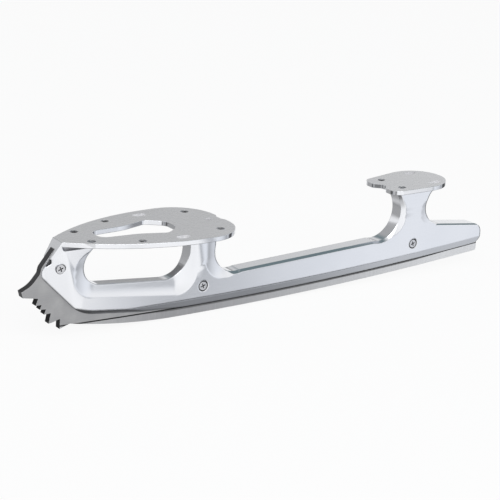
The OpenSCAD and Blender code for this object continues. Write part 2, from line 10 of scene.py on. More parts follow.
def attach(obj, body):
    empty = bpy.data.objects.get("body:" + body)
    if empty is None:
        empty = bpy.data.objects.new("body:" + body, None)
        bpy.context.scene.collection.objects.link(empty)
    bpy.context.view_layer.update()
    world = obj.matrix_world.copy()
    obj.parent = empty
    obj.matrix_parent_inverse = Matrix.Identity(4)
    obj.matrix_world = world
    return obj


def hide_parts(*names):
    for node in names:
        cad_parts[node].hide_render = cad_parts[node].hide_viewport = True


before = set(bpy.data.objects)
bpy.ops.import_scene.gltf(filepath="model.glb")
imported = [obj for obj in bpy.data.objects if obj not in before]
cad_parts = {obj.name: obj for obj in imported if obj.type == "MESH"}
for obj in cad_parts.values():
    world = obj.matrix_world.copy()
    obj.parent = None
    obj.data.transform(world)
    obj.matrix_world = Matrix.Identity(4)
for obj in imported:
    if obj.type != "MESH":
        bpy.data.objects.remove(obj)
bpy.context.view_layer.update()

MM = 0.001

# Sizes of the blade, in millimetres, in the frame of its solids
SOLE_TOP = 50.3
HEEL_TOP = 56.6
HEEL_PIVOT = -90.0
HEEL_PITCH = math.radians(3)
PLATE_THICKNESS = 2.4
PLATE_FRONT = 131.4
ROCKER_LOW = 44.4
ROCKER_RADIUS = 2438.0
GROUND_STRIP = 4.3
RELIEF_WIDTH = 0.7
HEAD_TOP = 4.8
CLAMP_PLACES = {"toe": (131.9, 36.7), "middle": (48.2, 15.6), "heel": (-97.3, 19.6)}

# Middles of the holes in the plates, on one side: the drilled ones, then the longer and the centre ones
DRILLED_HOLES = [(117.6, 9.0), (94.6, 19.0), (47.4, 17.2), (-81.3, 9.1)]
MILLED_HOLES = [(72.6, 21.5), (43.4, 0.0), (-104.3, 11.0)]
HOLE_REACH = 4.4
HOLE_DEPTH = 6.0

# Where the chassis has painted shade, darker faces standing in for the shade there: the notch above the
# toe screw, the cove under the sole plate's front and the countersinks of the clamp screws
NOTCH_X, NOTCH_Z = (136, 140.4), (37.9, 42.2)
NOTCH_INNER, NOTCH_FLOOR, NOTCH_OUTER = 2.4, 2.45, 3.6
COVE_X, COVE_Y, COVE_Z = (104, 133), (3.9, 5.03), (45.3, 47.95)
COUNTERSINK_REACH = 3.7
COUNTERSINK_INNER = 3.0
NEAR = 0.05

# The runner's front faces: how far behind the plate's front and how high they start, and where the
# cut teeth give way to the front edge
FRONT_LENGTH = 6.0
FRONT_LOW = 4.0
TEETH_TOP = 23.0

# How deep a recess in a fastener's head may go, and the play in finding its faces
RECESS_DEPTH = 1.2
RECESS_PLAY = 0.02
RIM_PLAY = 0.01

# Taper under the nose, on both sides of the slot: its two straight runs, each with a start, an end
# and how far it reaches past them, and the section of what it takes away, all in millimetres
CHIN_RUNS = [((58.4, 5.14), (84.4, 6.43), 6.0, 6.0), ((84.4, 6.43), (120.2, 10.88), 6.0, -2.0)]
CHIN_SECTION = [(1.93, -1.0), (5.51, 2.9), (9.0, 2.9), (9.0, -1.0)]

# Angles in degrees above which edges stay sharp: on the solids, on one curved wall and on fasteners
SOLID_CREASE = 10.5
WALL_CREASE = 40
FASTENER_CREASE = 25
WALL_LEAN = 0.06

# Depth of the grain in the finishes, and the radii of the edges that they soften
GRAIN_DEPTH = 0.05 * MM
SMALL_EDGE = 0.1 * MM
PLATE_EDGE = 0.2 * MM
POLISHED_EDGE = 0.4 * MM
BUFFED_EDGE = 1.3 * MM

# Numbers of each piece's finishes, in the order in which it gets them
POLISHED, SATIN, DRILLED, SHADED_RECESS, COVE, MILLED, BUFFED = range(7)
BRUSHED, EDGE, CUT = range(3)
HEAD, RIM, RECESS = range(3)

# Where the camera stands
CAMERA_TURN = math.radians(143.98)
CAMERA_RISE = math.radians(17.215)
CAMERA_ROLL = math.radians(3.20)
CAMERA_DISTANCE = 750 * MM
CAMERA_TARGET = Vector((15.70, 0, 29.57)) * MM
LENS_MM = 100.69
SENSOR_MM = 36


def link(obj):
    bpy.context.scene.collection.objects.link(obj)
    return obj


# Shader building


class Finish:
    """A Principled material that is put together node by node."""

    def __init__(self, name):
        self.material = bpy.data.materials.new(name)
        self.material.use_nodes = True
        self.tree = self.material.node_tree
        self.shader = self.tree.nodes["Principled BSDF"]
        self.place = self.node("ShaderNodeTexCoord").outputs["Object"]

    def node(self, kind, **settings):
        made = self.tree.nodes.new(kind)
        for key, value in settings.items():
            setattr(made, key, value)
        return made

    def join(self, source, target):
        self.tree.links.new(source, target)

    def calc(self, operation, a, b):
        made = self.node("ShaderNodeMath", operation=operation)
        for socket, value in zip(made.inputs, (a, b)):
            if isinstance(value, (int, float)):
                socket.default_value = value
            else:
                self.join(value, socket)
        return made.outputs[0]

    def metallic(self, share):
        self.shader.inputs["Metallic"].default_value = share

    def stretched(self, scale):
        mapping = self.node("ShaderNodeMapping")
        mapping.inputs["Scale"].default_value = scale
        self.join(self.place, mapping.inputs["Vector"])
        return mapping.outputs["Vector"]

    def noise(self, vector, scale, detail, rough=0.55):
        made = self.node("ShaderNodeTexNoise")
        made.inputs["Scale"].default_value = scale
        made.inputs["Detail"].default_value = detail
        made.inputs["Roughness"].default_value = rough
        self.join(vector, made.inputs["Vector"])
        return made.outputs["Fac"]

    def ramp(self, value, low, high, dark, light):
        made = self.node("ShaderNodeValToRGB")
        made.color_ramp.elements[0].position = low
        made.color_ramp.elements[0].color = (*dark, 1)
        made.color_ramp.elements[1].position = high
        made.color_ramp.elements[1].color = (*light, 1)
        self.join(value, made.inputs["Fac"])
        return made.outputs["Color"]

    def span(self, value, low, high, out_low, out_high):
        made = self.node("ShaderNodeMapRange")
        limits = {"From Min": low, "From Max": high, "To Min": out_low, "To Max": out_high}
        for key, number in limits.items():
            made.inputs[key].default_value = number
        self.join(value, made.inputs["Value"])
        return made.outputs["Result"]

    def mix(self, fac, a, b):
        made = self.node("ShaderNodeMix", data_type="RGBA")
        self.join(fac, made.inputs[0])
        self.join(a, made.inputs[6])
        self.join(b, made.inputs[7])
        return made.outputs[2]

    def colour(self, output):
        self.join(output, self.shader.inputs["Base Color"])

    def roughness(self, output):
        self.join(output, self.shader.inputs["Roughness"])

    def surface(self, height, strength, distance, edge_radius):
        """A fine grain on softened edges."""
        bevel = self.node("ShaderNodeBevel", samples=8)
        bevel.inputs["Radius"].default_value = edge_radius
        bump = self.node("ShaderNodeBump")
        bump.inputs["Strength"].default_value = strength
        bump.inputs["Distance"].default_value = distance
        self.join(height, bump.inputs["Height"])
        self.join(bevel.outputs["Normal"], bump.inputs["Normal"])
        self.join(bump.outputs["Normal"], self.shader.inputs["Normal"])


def polished_alloy(name, edge_radius):
    f = Finish(name)
    f.metallic(1.0)
    cloud = f.noise(f.place, 28, 2.0)
    f.colour(f.ramp(cloud, 0.3, 0.7, (0.82, 0.835, 0.87), (0.86, 0.87, 0.90)))
    lines = f.noise(f.stretched((30, 900, 900)), 4, 3.0)
    f.roughness(f.span(lines, 0.3, 0.7, 0.10, 0.16))
    f.surface(lines, 0.03, GRAIN_DEPTH, edge_radius)
    return f.material


def satin_alloy():
    f = Finish("satin_alloy")
    f.metallic(1.0)
    lines = f.noise(f.stretched((40, 1100, 600)), 3, 4.0)
    cloud = f.noise(f.place, 35, 2.0)
    fine = f.ramp(lines, 0.3, 0.7, (0.85, 0.85, 0.87), (0.885, 0.885, 0.905))
    broad = f.ramp(cloud, 0.3, 0.7, (0.85, 0.85, 0.87), (0.89, 0.89, 0.91))
    f.colour(f.mix(cloud, fine, broad))
    f.roughness(f.span(lines, 0.3, 0.7, 0.25, 0.31))
    f.surface(lines, 0.015, GRAIN_DEPTH, PLATE_EDGE)
    return f.material


def drilled_alloy():
    f = Finish("drilled_alloy")
    f.metallic(1.0)
    rings = f.noise(f.stretched((200, 200, 3000)), 2, 2.0)
    f.colour(f.ramp(rings, 0.3, 0.7, (0.60, 0.61, 0.63), (0.82, 0.83, 0.85)))
    f.roughness(f.span(rings, 0.3, 0.7, 0.15, 0.3))
    f.surface(rings, 0.15, GRAIN_DEPTH, SMALL_EDGE)
    return f.material


def slot_highlight_alloy():
    """The milled walls of the longer holes and the centre hole, paler and less metallic than the drilled
    ones; this paleness is a painted highlight for the glints on these walls.
    """
    f = Finish("slot_highlight_alloy")
    f.metallic(0.2)
    marks = f.noise(f.stretched((300, 300, 1500)), 2, 2.0)
    f.colour(f.ramp(marks, 0.3, 0.7, (0.74, 0.74, 0.76), (0.86, 0.86, 0.88)))
    f.roughness(f.span(marks, 0.3, 0.7, 0.25, 0.4))
    f.surface(marks, 0.1, GRAIN_DEPTH, SMALL_EDGE)
    return f.material


def runner_steel():
    """Brushed above the relief line, ground across below it, with painted shade in and under the relief
    groove.
    """
    f = Finish("runner_steel")
    f.metallic(1.0)

    # Height above the rocker's curve
    flat = f.node("ShaderNodeVectorMath", operation="MULTIPLY_ADD")
    flat.inputs[1].default_value = (1, 0, 1)
    flat.inputs[2].default_value = (-ROCKER_LOW * MM, 0, -ROCKER_RADIUS * MM)
    f.join(f.place, flat.inputs[0])
    away = f.node("ShaderNodeVectorMath", operation="LENGTH")
    f.join(flat.outputs[0], away.inputs[0])
    height = f.calc("SUBTRACT", ROCKER_RADIUS * MM, away.outputs["Value"])
    split = f.node("ShaderNodeSeparateXYZ")
    f.join(f.place, split.inputs[0])
    along = split.outputs["X"]

    strip_top = GROUND_STRIP
    relief_top = GROUND_STRIP + RELIEF_WIDTH
    below = f.span(height, (strip_top - 0.06) * MM, (strip_top + 0.06) * MM, 1, 0)
    above = f.span(height, (relief_top - 0.1) * MM, (relief_top + 0.1) * MM, 0, 1)
    lines = f.noise(f.stretched((60, 900, 1500)), 3, 4.0, 0.6)
    strokes = f.noise(f.stretched((1600, 900, 60)), 3, 3.0)
    cloud = f.noise(f.place, 110, 3.0)

    fine = f.ramp(lines, 0.25, 0.75, (0.40, 0.40, 0.41), (0.52, 0.52, 0.52))
    broad = f.ramp(cloud, 0.3, 0.7, (0.39, 0.39, 0.40), (0.54, 0.54, 0.54))
    brushed = f.mix(cloud, fine, broad)
    # The relief groove is painted near black: painted shade for the shadow gap under the chassis's lower
    # edge
    groove_shade = f.ramp(cloud, 0.3, 0.7, (0.03, 0.03, 0.03), (0.06, 0.06, 0.06))

    # The ground strip is paler at the heel, darker ahead of it and a little paler again at the toe
    paler_strip = f.ramp(strokes, 0.3, 0.7, (0.80, 0.80, 0.80), (0.90, 0.90, 0.90))
    darker_strip = f.ramp(strokes, 0.3, 0.7, (0.40, 0.40, 0.41), (0.48, 0.48, 0.49))
    darker_share = f.calc("SUBTRACT", f.span(along, -0.12, 0.05, 0, 1), f.span(along, 0.07, 0.11, 0, 0.3))
    ground = f.mix(darker_share, paler_strip, darker_strip)

    # A band of painted shade under the groove, which widens the dark shadow line below the chassis and
    # runs out at both ends
    shade = f.ramp(strokes, 0.3, 0.7, (0.15, 0.15, 0.15), (0.26, 0.26, 0.26))
    rear_end = f.span(along, -0.13, -0.10, -0.0008, 0)
    front_end = f.span(along, 0.065, 0.085, 0, -0.0008)
    banded = f.calc("ADD", height, f.calc("ADD", rear_end, front_end))
    shade_band = f.span(banded, 0.0034, 0.0037, 0, 1)

    f.colour(f.mix(below, f.mix(above, groove_shade, brushed), f.mix(shade_band, ground, shade)))
    f.roughness(f.span(lines, 0.3, 0.7, 0.28, 0.40))
    f.surface(lines, 0.10, GRAIN_DEPTH, SMALL_EDGE)
    return f.material


def painted_shade_steel(name, dark, light):
    """Dull metal between two greys with a touch of blue, dark as painted shade on the faces that get it.
    """
    f = Finish(name)
    f.metallic(1.0)
    grain = f.noise(f.stretched((400, 1600, 400)), 3, 3.0)
    f.colour(f.ramp(grain, 0.3, 0.7, (dark, dark, dark * 1.05), (light, light, light * 1.05)))
    f.roughness(f.span(grain, 0.3, 0.7, 0.35, 0.5))
    f.surface(grain, 0.1, GRAIN_DEPTH, SMALL_EDGE)
    return f.material


def screw_steel():
    f = Finish("screw_steel")
    f.metallic(1.0)
    grain = f.noise(f.place, 900, 3.0)
    f.colour(f.ramp(grain, 0.3, 0.7, (0.66, 0.66, 0.68), (0.78, 0.78, 0.80)))
    f.roughness(f.span(grain, 0.3, 0.7, 0.20, 0.32))
    f.surface(grain, 0.05, 0.00003, SMALL_EDGE)
    return f.material


# Pieces


def crease(mesh, degrees):
    """Keeps edges sharp above an angle, except between the facets of one curved wall."""
    work = bmesh.new()
    work.from_mesh(mesh)
    for face in work.faces:
        face.smooth = True
    for edge in work.edges:
        if len(edge.link_faces) != 2:
            continue
        a, b = (face.normal for face in edge.link_faces)
        wall = max(abs(a.z), abs(b.z)) < WALL_LEAN or max(abs(a.y), abs(b.y)) < WALL_LEAN
        edge.smooth = a.angle(b, 0) < math.radians(WALL_CREASE if wall else degrees)
    work.to_mesh(mesh)
    work.free()


def settle(obj):
    """Turns a piece with modifiers into a plain mesh."""
    view = bpy.context.evaluated_depsgraph_get()
    mesh = bpy.data.meshes.new_from_object(obj.evaluated_get(view))
    obj.modifiers.clear()
    obj.data = mesh
    mesh.name = obj.name


def weigh_normals(obj):
    """Bends the shading at curved joints and keeps the flat faces flat."""
    weighted = obj.modifiers.new("flat_faces", "WEIGHTED_NORMAL")
    weighted.keep_sharp = True
    weighted.weight = 100
    settle(obj)


def chin_wedges(start, end, behind, ahead):
    """What the taper takes away along one straight run, on both sides."""
    start, end = Vector(start), Vector(end)
    along = (end - start).normalized()
    across = Vector((-along.y, along.x))
    points, faces = [], []
    for side in (1, -1):
        first = len(points)
        for reach in (-behind, (end - start).length + ahead):
            for y, level in CHIN_SECTION:
                at = start + along * reach + across * level
                points.append((at.x * MM, side * y * MM, at.y * MM))
        faces.append([first + i for i in (0, 1, 2, 3)])
        faces.append([first + i for i in (7, 6, 5, 4)])
        for i in range(4):
            j = (i + 1) % 4
            faces.append([first + k for k in (j, i, i + 4, j + 4)])
    mesh = bpy.data.meshes.new("chin_wedges")
    mesh.from_pydata(points, [], faces)
    work = bmesh.new()
    work.from_mesh(mesh)
    bmesh.ops.recalc_face_normals(work, faces=work.faces)
    work.to_mesh(mesh)
    work.free()
    return link(bpy.data.objects.new("chin_wedges", mesh))


def taper_chin(obj):
    """Cuts the taper's straight runs, which the solid has only where they turn up to the nose."""
    wedges = [chin_wedges(*run) for run in CHIN_RUNS]
    for wedge in wedges:
        cut = obj.modifiers.new("taper", "BOOLEAN")
        cut.operation = "DIFFERENCE"
        cut.solver = "EXACT"
        cut.object = wedge
    settle(obj)
    for wedge in wedges:
        bpy.data.objects.remove(wedge)


def smooth_copy(node, name, shape=None):
    """A merged copy of a solid with its curved walls shaded smooth."""
    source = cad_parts[node].data
    mesh = bpy.data.meshes.new(name)
    mesh.from_pydata(
        [v.co[:] for v in source.vertices], [], [list(p.vertices) for p in source.polygons]
    )
    work = bmesh.new()
    work.from_mesh(mesh)
    bmesh.ops.remove_doubles(work, verts=work.verts, dist=2e-7)
    work.to_mesh(mesh)
    work.free()
    obj = link(bpy.data.objects.new(name, mesh))
    if shape:
        shape(obj)
    crease(obj.data, SOLID_CREASE)
    weigh_normals(obj)
    return obj


def paint(obj, materials, choose):
    """Gives each face of a piece one of its materials, chosen by the face's middle and normal."""
    obj.data.materials.clear()
    for material in materials:
        obj.data.materials.append(material)
    for face in obj.data.polygons:
        face.material_index = choose(face.center / MM, face.normal)


def heel_top(x):
    return HEEL_TOP - (x - HEEL_PIVOT) * math.tan(HEEL_PITCH)


def within(value, limits):
    return limits[0] < value < limits[1]


def chassis_region(at, normal):
    """The number of the finish of one face of the chassis."""
    over = SOLE_TOP if at.x > 0 else heel_top(at.x)
    wide = abs(at.y)
    if within(at.x, NOTCH_X) and within(at.z, NOTCH_Z) and wide < NOTCH_OUTER:
        # The notch's floor and walls are painted dark as shade
        if abs(wide - NOTCH_FLOOR) < NEAR or abs(normal.y) < 0.3 and wide > NOTCH_INNER:
            return SHADED_RECESS
    if within(at.x, COVE_X) and within(wide, COVE_Y) and within(at.z, COVE_Z) and normal.z > 0.1:
        # The cove's faces are painted dark grey as the shade under the sole plate
        return COVE
    if normal.z > 0.99 and abs(at.z - over) < NEAR:
        return SATIN
    if over - HOLE_DEPTH < at.z < over and -0.95 < normal.z < 0.9:
        for finish, places in ((DRILLED, DRILLED_HOLES), (MILLED, MILLED_HOLES)):
            if any(math.hypot(at.x - x, wide - y) < HOLE_REACH for x, y in places):
                return finish
    for x, z in CLAMP_PLACES.values():
        close = math.hypot(at.x - x, at.z - z) < COUNTERSINK_REACH
        # The countersinks round the clamp screws are painted dark as shade
        if close and wide > COUNTERSINK_INNER and abs(normal.y) < 0.95:
            return SHADED_RECESS
    on_side = abs(normal.y) > 0.85 and at.z < over - PLATE_THICKNESS
    return BUFFED if on_side else POLISHED


def runner_region(at, normal):
    """The number of the finish of one face of the runner."""
    ahead = at.x > PLATE_FRONT - FRONT_LENGTH and at.z > FRONT_LOW and normal.x > 0.2
    if abs(normal.y) > 0.7 or not ahead:
        return BRUSHED
    # The teeth are painted near black and the front edge dark grey, as painted shade for their dark
    # reflections
    return CUT if at.z < TEETH_TOP else EDGE


def tree_of(name, inputs):
    """A Geometry Nodes tree with the given named inputs."""
    tree = bpy.data.node_groups.new(name, "GeometryNodeTree")
    tree.interface.new_socket(name="Geometry", in_out="OUTPUT", socket_type="NodeSocketGeometry")
    for label, kind in inputs:
        tree.interface.new_socket(name=label, in_out="INPUT", socket_type="NodeSocket" + kind)
    return tree


class Parts:
    """Adds nodes to a Geometry Nodes tree and joins them up."""

    def __init__(self, tree):
        self.tree = tree
        self.given = tree.nodes.new("NodeGroupInput").outputs
        self.result = tree.nodes.new("NodeGroupOutput").inputs

    def add(self, kind, sockets=None, **settings):
        made = self.tree.nodes.new(kind)
        for key, value in settings.items():
            setattr(made, key, value)
        for key, value in (sockets or {}).items():
            if hasattr(value, "is_linked"):
                self.tree.links.new(value, made.inputs[key])
            else:
                made.inputs[key].default_value = value
        return made

    def calc(self, operation, a, b):
        return self.add("ShaderNodeMath", {0: a, 1: b}, operation=operation).outputs[0]

    def lifted(self, mesh, z):
        place = self.add("ShaderNodeCombineXYZ", {"Z": z}).outputs[0]
        return self.add("GeometryNodeTransform", {"Geometry": mesh, "Translation": place}).outputs[0]

    def turned(self, mesh, angle):
        turn = self.add("ShaderNodeCombineXYZ", {"Z": angle}).outputs[0]
        return self.add("GeometryNodeTransform", {"Geometry": mesh, "Rotation": turn}).outputs[0]

    def chosen(self, number, values):
        """The value of the numbered ring."""
        made = self.add("GeometryNodeIndexSwitch", data_type="FLOAT")
        while len(made.index_switch_items) < len(values):
            made.index_switch_items.new()
        self.tree.links.new(number, made.inputs["Index"])
        for socket, value in zip(list(made.inputs)[1:], values):
            if isinstance(value, float):
                socket.default_value = value
            else:
                self.tree.links.new(value, socket)
        return made.outputs[0]

    def cut(self, base, tool):
        made = self.add("GeometryNodeMeshBoolean", operation="DIFFERENCE", solver="EXACT")
        self.tree.links.new(base, made.inputs["Mesh 1"])
        self.tree.links.new(tool, made.inputs["Mesh 2"])
        return made.outputs["Mesh"]


def countersunk_tree():
    """A countersunk fastener: a turned body with a beveled head, one slot or two crossed, and a bore."""
    tree = tree_of("countersunk_fastener", [
        ("Head Diameter", "Float"), ("Shank Diameter", "Float"), ("Rim", "Float"), ("Length", "Float"),
        ("Slot Length", "Float"), ("Slot Width", "Float"), ("Slot Depth", "Float"), ("Slot Turn", "Float"),
        ("Crossed", "Bool"), ("Bore Diameter", "Float"), ("Bore Start", "Float"),
        ("Place", "Vector"), ("Facing", "Rotation"), ("Steel", "Material"),
    ])
    p = Parts(tree)
    g = p.given
    head_r = p.calc("MULTIPLY", g["Head Diameter"], 0.5)
    shank_r = p.calc("MULTIPLY", g["Shank Diameter"], 0.5)
    half_rim = p.calc("MULTIPLY", g["Rim"], 0.5)

    # The body is a plain cylinder whose four rings are set to the fastener's radii and heights
    blank = p.add("GeometryNodeMeshCylinder", {
        "Vertices": 64, "Side Segments": 3, "Radius": 1.0, "Depth": 3.0,
    }).outputs["Mesh"]
    at = p.add("ShaderNodeSeparateXYZ", {"Vector": p.add("GeometryNodeInputPosition").outputs[0]}).outputs
    ring = p.calc("ROUND", p.calc("ADD", at["Z"], 1.5), 0.0)
    radius = p.chosen(ring, [
        shank_r, shank_r, p.calc("SUBTRACT", head_r, half_rim), p.calc("SUBTRACT", head_r, g["Rim"]),
    ])
    height = p.chosen(ring, [
        p.calc("MULTIPLY", g["Length"], -1.0), p.calc("SUBTRACT", shank_r, head_r),
        p.calc("MULTIPLY", half_rim, -1.0), 0.0,
    ])
    turned = p.add("ShaderNodeCombineXYZ", {
        "X": p.calc("MULTIPLY", at["X"], radius), "Y": p.calc("MULTIPLY", at["Y"], radius), "Z": height,
    }).outputs[0]
    body = p.add("GeometryNodeSetPosition", {"Geometry": blank, "Position": turned}).outputs[0]

    # The second slot is a little shallower, so that the two floors don't coincide
    slot_size = p.add("ShaderNodeCombineXYZ", {
        "X": g["Slot Length"], "Y": g["Slot Width"], "Z": p.calc("MULTIPLY", g["Slot Depth"], 2.0),
    }).outputs[0]
    slot = p.add("GeometryNodeMeshCube", {"Size": slot_size}).outputs["Mesh"]
    single = p.cut(body, p.turned(slot, g["Slot Turn"]))
    shallower = p.lifted(slot, 0.02 * MM)
    double = p.cut(single, p.turned(shallower, p.calc("ADD", g["Slot Turn"], math.pi / 2)))
    slotted = p.add("GeometryNodeSwitch", {
        "Switch": g["Crossed"], "False": single, "True": double,
    }).outputs[0]

    drill_length = 40 * MM
    drill = p.add("GeometryNodeMeshCylinder", {
        "Vertices": 48, "Radius": p.calc("MULTIPLY", g["Bore Diameter"], 0.5), "Depth": drill_length,
    }).outputs["Mesh"]
    start = p.calc("MULTIPLY", g["Bore Start"], -1.0)
    bored = p.cut(slotted, p.lifted(drill, p.calc("SUBTRACT", start, drill_length / 2)))
    placed = p.add("GeometryNodeTransform", {
        "Geometry": bored, "Translation": g["Place"], "Rotation": g["Facing"],
    }).outputs[0]
    real = p.add("GeometryNodeRealizeInstances", {"Geometry": placed}).outputs[0]
    done = p.add("GeometryNodeSetMaterial", {"Geometry": real, "Material": g["Steel"]}).outputs[0]
    tree.links.new(done, p.result[0])
    return tree


def fastener(tree, node, sizes, materials):
    """One screw or sleeve nut from the shared tree, dressed and put in its node's place."""
    obj = link(bpy.data.objects.new(node + "_steel", bpy.data.meshes.new(node + "_steel")))
    grown = obj.modifiers.new("grown", "NODES")
    grown.node_group = tree
    for item in tree.interface.items_tree:
        if item.in_out == "INPUT":
            grown[item.identifier] = sizes.get(item.name, materials[HEAD])
    settle(obj)
    crease(obj.data, FASTENER_CREASE)
    place = Vector(sizes["Place"]) / MM
    side = 1 if place.y > 0 else -1
    head_r = sizes["Head Diameter"] / MM / 2
    rim = sizes["Rim"] / MM
    recess_r = min(sizes["Slot Length"] / MM, head_r - rim)

    def region(at, normal):
        off = math.hypot(at.x - place.x, at.z - place.z)
        deep = side * (place.y - at.y)
        # The rim is painted dark all round and the recess darker, as painted shade
        if off > head_r - rim - RIM_PLAY and deep < rim + RECESS_PLAY:
            return RIM
        if RECESS_PLAY < deep < RECESS_DEPTH and off < recess_r and normal.y * side > -0.5:
            return RECESS
        return HEAD

    paint(obj, materials, region)
    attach(obj, "root")
    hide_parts(node)


chassis = smooth_copy("chassis", "chassis_alloy", taper_chin)
paint(chassis, [
    polished_alloy("polished_alloy", POLISHED_EDGE),
    satin_alloy(),
    drilled_alloy(),
    # Painted shade: the notch and the countersinks are dark in place of the shade in these recesses
    painted_shade_steel("notch_and_countersink_shade", 0.10, 0.17),
    # Painted shade: the cove under the sole plate's front is dark grey where it lies in shade
    painted_shade_steel("cove_painted_shade", 0.32, 0.40),
    # Painted highlight: the slots' walls are paler than the drilled holes' walls, to stand in for their
    # bright glints
    slot_highlight_alloy(),
    polished_alloy("buffed_sides", BUFFED_EDGE),
], chassis_region)
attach(chassis, "root")
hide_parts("chassis")

runner = smooth_copy("runner", "runner_strip")
paint(runner, [
    runner_steel(),
    # Painted shade: the runner's front edge is dark grey and its teeth near black, standing in for the
    # dark reflection on these faces
    painted_shade_steel("edge_painted_shade", 0.07, 0.12),
    painted_shade_steel("teeth_painted_shade", 0.012, 0.035),
], runner_region)
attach(runner, "root")
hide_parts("runner")

fastener_steel = [
    screw_steel(),
    # Painted shade: a dark ring on each head's rim and darker faces in its recess
    painted_shade_steel("rim_painted_shade", 0.05, 0.09),
    painted_shade_steel("fastener_recess_shade", 0.20, 0.30),
]
countersunk = countersunk_tree()
for end, (x, z) in CLAMP_PLACES.items():
    fastener(countersunk, end + "_screw", {
        "Head Diameter": 5.5 * MM, "Shank Diameter": 2.96 * MM, "Rim": 0.45 * MM, "Length": 7.2 * MM,
        "Slot Length": 2.88 * MM, "Slot Width": 0.64 * MM, "Slot Depth": 0.8 * MM, "Crossed": True,
        "Slot Turn": math.radians(20), "Bore Diameter": 0.2 * MM, "Bore Start": 30 * MM,
        "Place": (x * MM, HEAD_TOP * MM, z * MM), "Facing": (-math.pi / 2, 0, 0),
    }, fastener_steel)
    fastener(countersunk, end + "_nut", {
        "Head Diameter": 6.4 * MM, "Shank Diameter": 4.2 * MM, "Rim": 0.45 * MM, "Length": 6.7 * MM,
        "Slot Length": 8 * MM, "Slot Width": 0.8 * MM, "Slot Depth": 0.5 * MM, "Crossed": False,
        "Slot Turn": math.radians(35), "Bore Diameter": 3.02 * MM, "Bore Start": 1.4 * MM,
        "Place": (x * MM, -HEAD_TOP * MM, z * MM), "Facing": (math.pi / 2, 0, 0),
    }, fastener_steel)


# Studio

FLOOR_REACH = 6.0
FLOOR_LEVEL = -0.0005
FLOOR_GLOW = 0.9
WHITE = (1, 1, 1, 1)
FLAG_COLOUR = (0.17, 0.22, 0.235, 1)
COOL_TINT = (-0.04, -0.015, 0.03)

# Brightness of the studio's walls, by the direction in degrees from the toe towards the left side
WALLS = [
    (-180, 0.08), (-170, 0.10), (-161, 0.15), (-153, 0.85), (-126, 0.95), (-95, 0.85), (-75, 0.45),
    (-60, 0.36), (-52, 0.40), (-45, 0.42), (-38, 0.20), (-30, 0.10), (-14, 0.12), (-6, 0.50), (0, 0.58),
    (14, 0.56), (22, 0.46), (27, 0.20), (32, 0.16), (37, 0.60), (43, 0.98), (60, 1.08), (75, 1.06),
    (80, 0.98), (87, 1.06), (112, 1.09), (118.6, 1.06), (120.5, 0.80), (122.5, 0.46), (124, 0.50),
    (126, 0.73), (128.5, 0.90), (131, 0.95), (136, 0.93), (142, 0.86), (149, 0.76), (155, 0.62),
    (160.5, 0.46), (164, 0.46), (167, 0.74), (170, 0.74), (172.5, 0.12), (180, 0.08),
]
# Brightness from straight down to straight up, by the height of the direction
HEIGHTS = [
    (-1.0, 0.08), (-0.86, 0.18), (-0.845, 0.26), (-0.81, 0.27), (-0.79, 0.32), (-0.76, 0.47),
    (-0.74, 0.58), (-0.70, 0.58), (-0.55, 0.68), (-0.46, 0.86), (-0.40, 0.95),
    (-0.3, 0.98), (0.15, 0.98), (0.40, 0.95), (0.6, 0.80), (1.0, 0.75),
]
# The same behind and to the right, where the plates' tops look
BEHIND = [
    (-1.0, 0.95), (0.10, 0.95), (0.18, 0.32), (0.235, 0.34), (0.285, 0.50), (0.31, 0.62), (0.335, 0.67),
    (0.40, 0.74), (0.6, 0.80), (1.0, 0.75),
]
# A curve's values lie between 0 and 1, so brightness is divided by this and multiplied again
BRIGHTEST = 1.1


def studio_floor():
    """A pale floor that the camera sees as nearly white and that the metal doesn't reflect."""
    corners = [
        (x * FLOOR_REACH, y * FLOOR_REACH, FLOOR_LEVEL) for x, y in ((-1, -1), (1, -1), (1, 1), (-1, 1))
    ]
    mesh = bpy.data.meshes.new("studio_floor")
    mesh.from_pydata(corners, [], [(0, 1, 2, 3)])
    floor = link(bpy.data.objects.new("studio_floor", mesh))
    floor.visible_glossy = False
    material = bpy.data.materials.new("pale_floor")
    material.use_nodes = True
    tree = material.node_tree
    shader = tree.nodes["Principled BSDF"]
    shader.inputs["Base Color"].default_value = (0.93, 0.93, 0.94, 1)
    shader.inputs["Roughness"].default_value = 0.9
    glow = tree.nodes.new("ShaderNodeEmission")
    path = tree.nodes.new("ShaderNodeLightPath")
    seen = tree.nodes.new("ShaderNodeMath")
    seen.operation = "MAXIMUM"
    tree.links.new(path.outputs["Is Camera Ray"], seen.inputs[0])
    tree.links.new(path.outputs["Is Transmission Ray"], seen.inputs[1])
    share = tree.nodes.new("ShaderNodeMath")
    share.operation = "MULTIPLY"
    share.inputs[1].default_value = FLOOR_GLOW
    tree.links.new(seen.outputs[0], share.inputs[0])
    blend = tree.nodes.new("ShaderNodeMixShader")
    tree.links.new(share.outputs[0], blend.inputs[0])
    tree.links.new(shader.outputs[0], blend.inputs[1])
    tree.links.new(glow.outputs[0], blend.inputs[2])
    tree.links.new(blend.outputs[0], tree.nodes["Material Output"].inputs["Surface"])
    mesh.materials.append(material)


